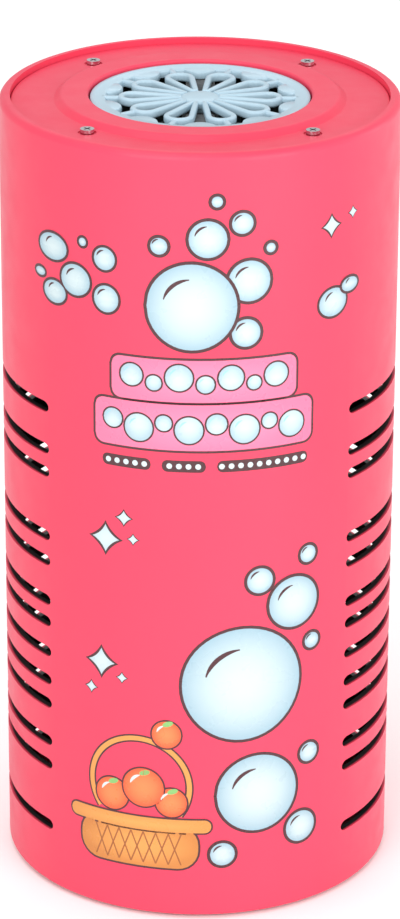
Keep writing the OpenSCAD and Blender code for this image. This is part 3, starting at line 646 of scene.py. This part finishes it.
def ellipse(s, z, a, b=None, tilt=0, count=48):
    b = a if b is None else b
    c, n = math.cos(math.radians(tilt)), math.sin(math.radians(tilt))
    points = []
    for i in range(count):
        t = 2 * math.pi * i / count
        x, y = a * math.cos(t), b * math.sin(t)
        points.append((s + x * c - y * n, z + x * n + y * c))
    return points


def arc_path(s, z, r, start, end, count=14):
    return [
        (s + r * math.cos(math.radians(start + (end - start) * i / (count - 1))),
         z + r * math.sin(math.radians(start + (end - start) * i / (count - 1))))
        for i in range(count)
    ]


def rounded_plate(s, z, w, h, r, tilt=0.0):
    """A rounded rectangle, tilted about its centre by some degrees."""
    c, n = math.cos(math.radians(tilt)), math.sin(math.radians(tilt))
    points = []
    for sx, sy, start in ((1, 1, 0), (-1, 1, 90), (-1, -1, 180), (1, -1, 270)):
        for i in range(7):
            a = math.radians(start + 15 * i)
            x, y = sx * (w / 2 - r) + r * math.cos(a), sy * (h / 2 - r) + r * math.sin(a)
            points.append((s + x * c - y * n, z + x * n + y * c))
    return points


def star_outline(s, z, r, waist=0.26):
    """A four-pointed sparkle with hollow curved sides."""
    points = []
    for k in range(4):
        a0, a1 = math.radians(90 * k), math.radians(90 * (k + 1))
        tip = Vector((math.cos(a0), math.sin(a0))) * r
        after = Vector((math.cos(a1), math.sin(a1))) * r
        middle = (tip + after) * waist * 0.5
        for i in range(8):
            t = i / 8
            p = tip * (1 - t) ** 2 + middle * 2 * t * (1 - t) + after * t * t
            points.append((s + p.x, z + p.y))
    return points


def draw_bubble(art, s, z, a, b=None, layer=0, line=0.9):
    """A printed bubble: dark outline, white film that shades to the edge, and a dark curved glint."""
    b = a if b is None else b
    small = min(a, b)
    art.plate(ellipse(s, z, a, b), (s, z), "line", layer)
    art.plate(ellipse(s, z, a - line, b - line), (s, z), "white", layer + 1, (0.0, 1.0))
    if small > 2.5:
        art.stroke(arc_path(s, z, small * 0.6, 95, 165), 0.3 + small * 0.06, "line", layer + 2, taper=True)


# Arc length, height, half width and half height of each, in mm
LEFT_BUBBLES = [
    (-33, 198.5, 1.9, 1.9), (-48.8, 186.6, 2.7, 1.9), (-43, 182.2, 4.9, 3.9), (-43.6, 194.9, 6.0, 4.4),
    (-26.2, 195, 3.9, 3.9), (-25.7, 183.8, 4.4, 4.5), (-35.5, 187.3, 5.6, 5.1),
]
RIGHT_BUBBLES = [(45.2, 184.2, 3.9, 2.7), (39, 180.5, 5.6, 4.7)]
# Arc length, height and radius of each, in mm
CREST_BUBBLES = [
    (4.6, 213, 2.4), (11.4, 206.8, 3.8), (-10.8, 200.4, 3.2), (19.2, 199.4, 2.2), (2.2, 202.6, 6.0),
    (12.6, 176, 4.8), (13.4, 190.6, 6.6), (-2, 183.6, 13.0),
]
GARDEN_BUBBLES = [
    (31.8, 108.8, 3.4), (17.2, 103.4, 4.6), (33.4, 82.4, 3.2), (27.4, 95.4, 8.4), (12.6, 72.6, 17.8),
    (33, 48, 3.8), (30.6, 25.4, 5.6), (7.2, 20.4, 4.4), (17.2, 38.6, 12.6),
]
SPARKLES = [
    (38, 202.3, 3.7), (46, 204.4, 2.0), (-26.2, 114.5, 5.2), (-20.7, 121.3, 2.7), (-18, 115.3, 1.9),
    (-27.7, 77, 5.2), (-31, 68.6, 2.2), (-21.4, 73.2, 1.9),
]
# Radii of the bubbles in a row, height of the row and its width
PLAQUE_ROWS = [
    ((3.6, 2.6, 4.2, 2.9, 3.9, 2.4, 3.8), 162.6, 47),
    ((3.2, 4.4, 2.7, 4.3, 3.3, 4.5, 2.6, 4.1), 149.4, 57),
]
FRUIT = [(-24.5, 37, 5.4), (-7.2, 36.4, 4.9), (-15.2, 40.4, 6.4), (-8.6, 57.4, 4.6)]


def build_bubble_stickers():
    art = Print(["line", "white"])
    for k, (s, z, a, b) in enumerate(LEFT_BUBBLES + RIGHT_BUBBLES):
        draw_bubble(art, s, z, a, b, layer=(k % 4) * 2, line=0.75)
    for k, (s, z, r) in enumerate(CREST_BUBBLES):
        draw_bubble(art, s, z, r, layer=(k % 4) * 2)
    art.finish("bubble_print", "sticker_white", "bubble_stickers")


def build_sparkles():
    art = Print(["line", "white"])
    for s, z, r in SPARKLES:
        art.plate(star_outline(s, z, r, 0.66), (s, z), "line", 0)
        art.plate(star_outline(s, z, r * 0.78, 0.6), (s, z), "white", 1, (0.0, 0.6))
    art.finish("sparkle_print", "sticker_white", "sparkle_stickers")


def build_plaque():
    art = Print(["line", "plaque", "white", "glint"])
    tiers = ((1.5, 162.5, 52.6, 13.4), (1.5, 149.2, 62.6, 14.6))
    for s, z, w, h in tiers:
        art.plate(rounded_plate(s, z, w, h, 3.2), (s, z), "line", 0)
    for s, z, w, h in tiers:
        art.plate(rounded_plate(s, z, w - 1.4, h - 1.4, 2.6), (s, z), "plaque", 2, (0.2, 0.6))
    for sizes, z, width in PLAQUE_ROWS:
        gap = (width - 2 * sum(sizes)) / (len(sizes) - 1)
        s = 1.5 - width / 2
        for k, r in enumerate(sizes):
            s += r
            lift = 0.9 * (-1) ** k
            art.plate(ellipse(s, z + lift, r), (s, z), "line", 3)
            art.plate(ellipse(s, z + lift, r - 0.5), (s, z), "white", 4, (0.0, 0.8))
            art.stroke(arc_path(s, z + lift, r * 0.6, 105, 165), r * 0.13, "glint", 5, taper=True)
            s += r + gap
    for left, right in ((-27, -13), (-10, 2), (5, 31)):
        s, w = (left + right) / 2, right - left
        art.plate(rounded_plate(s, 138, w, 3.4, 1.6), (s, 138), "line", 0)
        for k in range(int(w / 2.6)):
            x = s + (k - (int(w / 2.6) - 1) / 2) * 2.6
            art.plate(ellipse(x, 138, 0.8, count=20), (x, 138), "white", 1)
    art.finish("plaque_print", "sticker_pink", "plaque_sticker")


def build_garden():
    art = Print(["line", "white", "orange", "tan", "brown", "leaf"])
    for k, (s, z, r) in enumerate(GARDEN_BUBBLES):
        draw_bubble(art, s, z, r, layer=(k % 4) * 2)
    handle = arc_path(-16.5, 41, 14.4, -36, 216, 60)
    art.stroke(handle, 2.4, "line", 0)
    art.stroke(handle, 1.4, "tan", 1, 0.2)
    for k, (s, z, r) in enumerate(FRUIT):
        art.plate(ellipse(s, z, r), (s, z), "line", 2 + k % 3)
        art.plate(ellipse(s, z, r - 0.5), (s, z), "orange", 3 + k % 3, (0.0, 0.9))
        art.stroke(arc_path(s, z, r * 0.6, 105, 165), r * 0.14, "white", 4 + k % 3, taper=True)
        art.plate(ellipse(s + 0.4, z + r * 0.72, 1.6, 0.8, 20, 24), (s, z + r * 0.72), "leaf", 5 + k % 2)
    art.plate(rounded_plate(-17, 22.5, 36, 14.6, 6.4), (-17, 22.5), "line", 6)
    art.plate(rounded_plate(-17, 22.5, 34.8, 13.4, 5.8), (-17, 22.5), "tan", 7, (0.1, 0.8))
    for k in range(-4, 5):
        foot, head = -17 + k * 3.6 - 1.8, -17 + k * 3.6 + 1.8
        if -32 < foot and head < -2:
            for a, b in ((foot, head), (head, foot)):
                line = [(a + (b - a) * i / 10, 17 + 9.6 * i / 10) for i in range(11)]
                art.stroke(line, 0.4, "brown", 8)
    art.plate(rounded_plate(-17, 29.2, 43, 5.0, 2.4), (-17, 29.2), "line", 7)
    art.plate(rounded_plate(-17, 29.2, 42, 4.0, 1.9), (-17, 29.2), "tan", 8, (0.0, 0.4))
    art.finish("garden_print", "sticker_tan", "garden_sticker")


# ---------------------------------------------------------------- felt wipers

FELT_START = 8.1 * MM


def build_felts():
    low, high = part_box("wiper_felts")
    bm = bmesh.new()
    inner = FELT_START
    for side in (-1, 1):
        length = high.y - inner
        centre = (0, side * (inner + length / 2))
        outline = rounded_box_section(high.x - low.x, length, 0.7 * MM)
        rows = []
        profile = (
            (0.3, low.z), (0, low.z + 0.3 * MM), (0, high.z - 0.6 * MM),
            (0.25, high.z - 0.15 * MM), (0.7, high.z),
        )
        for inset, z in profile:
            fit_x = 1 - inset * MM / high.x
            fit_y = 1 - inset * MM / (length / 2)
            rows.append([
                bm.verts.new((centre[0] + x * fit_x, centre[1] + y * fit_y, z)) for x, y in outline
            ])
        bridge(bm, rows, True)
        bm.faces.new(rows[0])
        bm.faces.new(rows[-1])
    felt = add_piece("felt_wipers", bm, [MATERIALS["felt"]], "housing", "felt", "wiper_felts")


add_camera()
add_studio()
add_floor()
dress_cad_nodes()
build_wheel()
build_bubble_stickers()
build_sparkles()
build_plaque()
build_garden()
build_felts()
